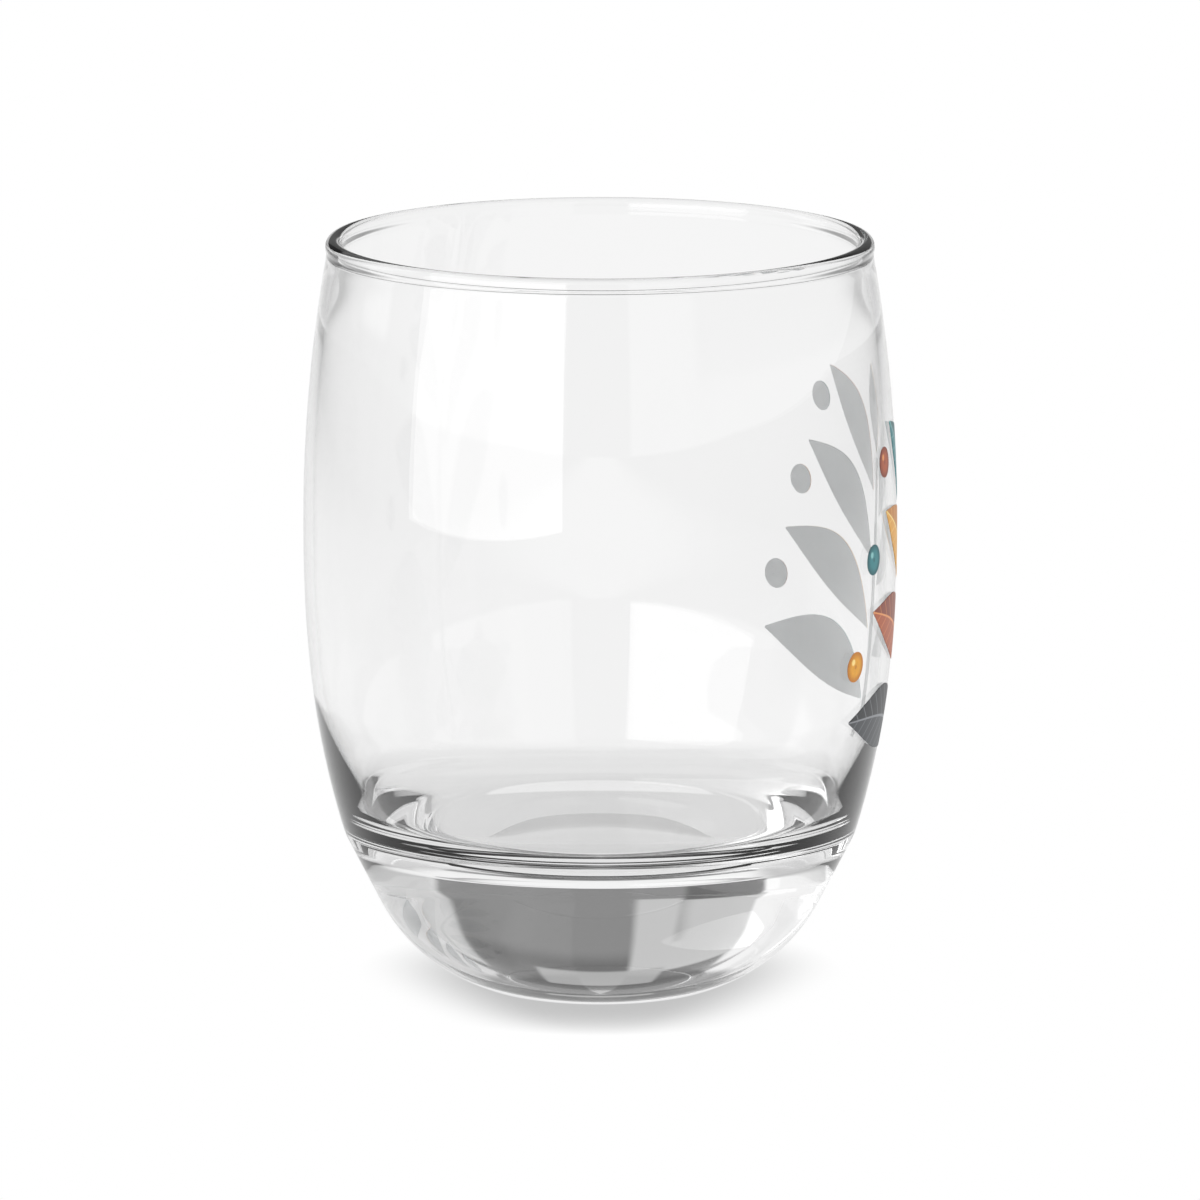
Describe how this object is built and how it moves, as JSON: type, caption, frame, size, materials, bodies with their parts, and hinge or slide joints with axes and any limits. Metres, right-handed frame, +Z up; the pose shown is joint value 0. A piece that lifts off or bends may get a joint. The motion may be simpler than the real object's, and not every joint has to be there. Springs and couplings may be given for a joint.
{
  "type": "whisky glass",
  "caption": "Clear barrel-shaped whisky tumbler with a thick solid base, a melted round rim and a small leafy sprig printed on one side.",
  "frame": {"origin": "middle of the foot, on the surface the glass stands on", "axes": "+Z up along the glass's axis, +X towards the middle of the print"},
  "size_m": [0.0662, 0.066, 0.0838],
  "materials": {
    "clear_glass": "clear, fire-polished",
    "ink_rust": "satin printed ink over a white undercoat",
    "ink_amber": "satin printed ink over a white undercoat",
    "ink_teal": "satin printed ink over a white undercoat",
    "ink_charcoal": "satin printed ink over a white undercoat"
  },
  "bodies": {
    "root": {"glass_tumbler": "clear_glass", "print_stem": "ink_charcoal", "print_leaf_left_1": "ink_charcoal", "print_leaf_left_2": "ink_rust", "print_leaf_left_3": "ink_amber", "print_leaf_left_4": "ink_teal", "print_leaf_right_1": "ink_teal", "print_leaf_right_2": "ink_amber", "print_leaf_right_3": "ink_charcoal", "print_leaf_right_4": "ink_rust", "print_leaf_top": "ink_amber", "print_berry_1": "ink_amber", "print_berry_2": "ink_teal", "print_berry_3": "ink_rust", "print_berry_4": "ink_rust", "print_berry_5": "ink_amber", "print_berry_6": "ink_teal"}
  },
  "joints": []
}
